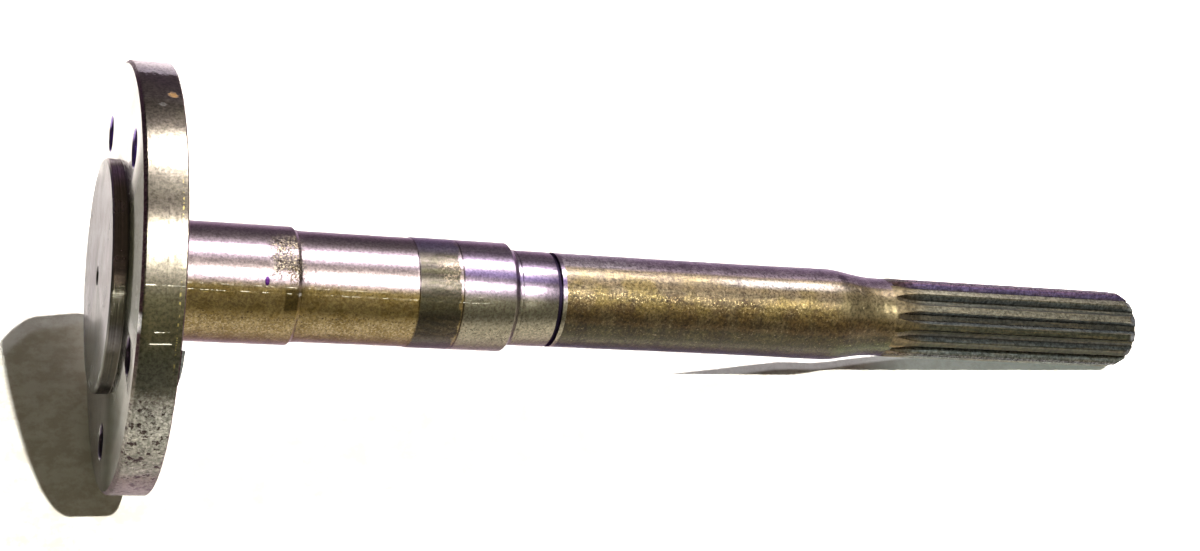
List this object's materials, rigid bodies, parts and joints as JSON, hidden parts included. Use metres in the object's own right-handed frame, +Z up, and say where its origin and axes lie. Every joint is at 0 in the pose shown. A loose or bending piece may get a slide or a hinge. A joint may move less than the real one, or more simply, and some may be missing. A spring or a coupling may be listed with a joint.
{
  "type": "axle shaft",
  "caption": "One-piece axle shaft: bolted wheel flange with a round pilot, ground journals with a circlip groove, forged shank and a splined end.",
  "frame": {"origin": "centre of the footprint on the bench, under the middle of the part's box", "axes": "+Z up from the bench; +X along the part from the wheel flange to the splined end, whose axis falls 8.6 degrees towards +X because the part lies on its rim and on its spline; +Y across"},
  "size_m": [0.4754, 0.1698, 0.17],
  "materials": {
    "worn_steel": "turned and ground steel, used, with stains, pits and a brown forged shank"
  },
  "bodies": {
    "root": {"axle_shaft": "worn_steel"}
  },
  "joints": []
}
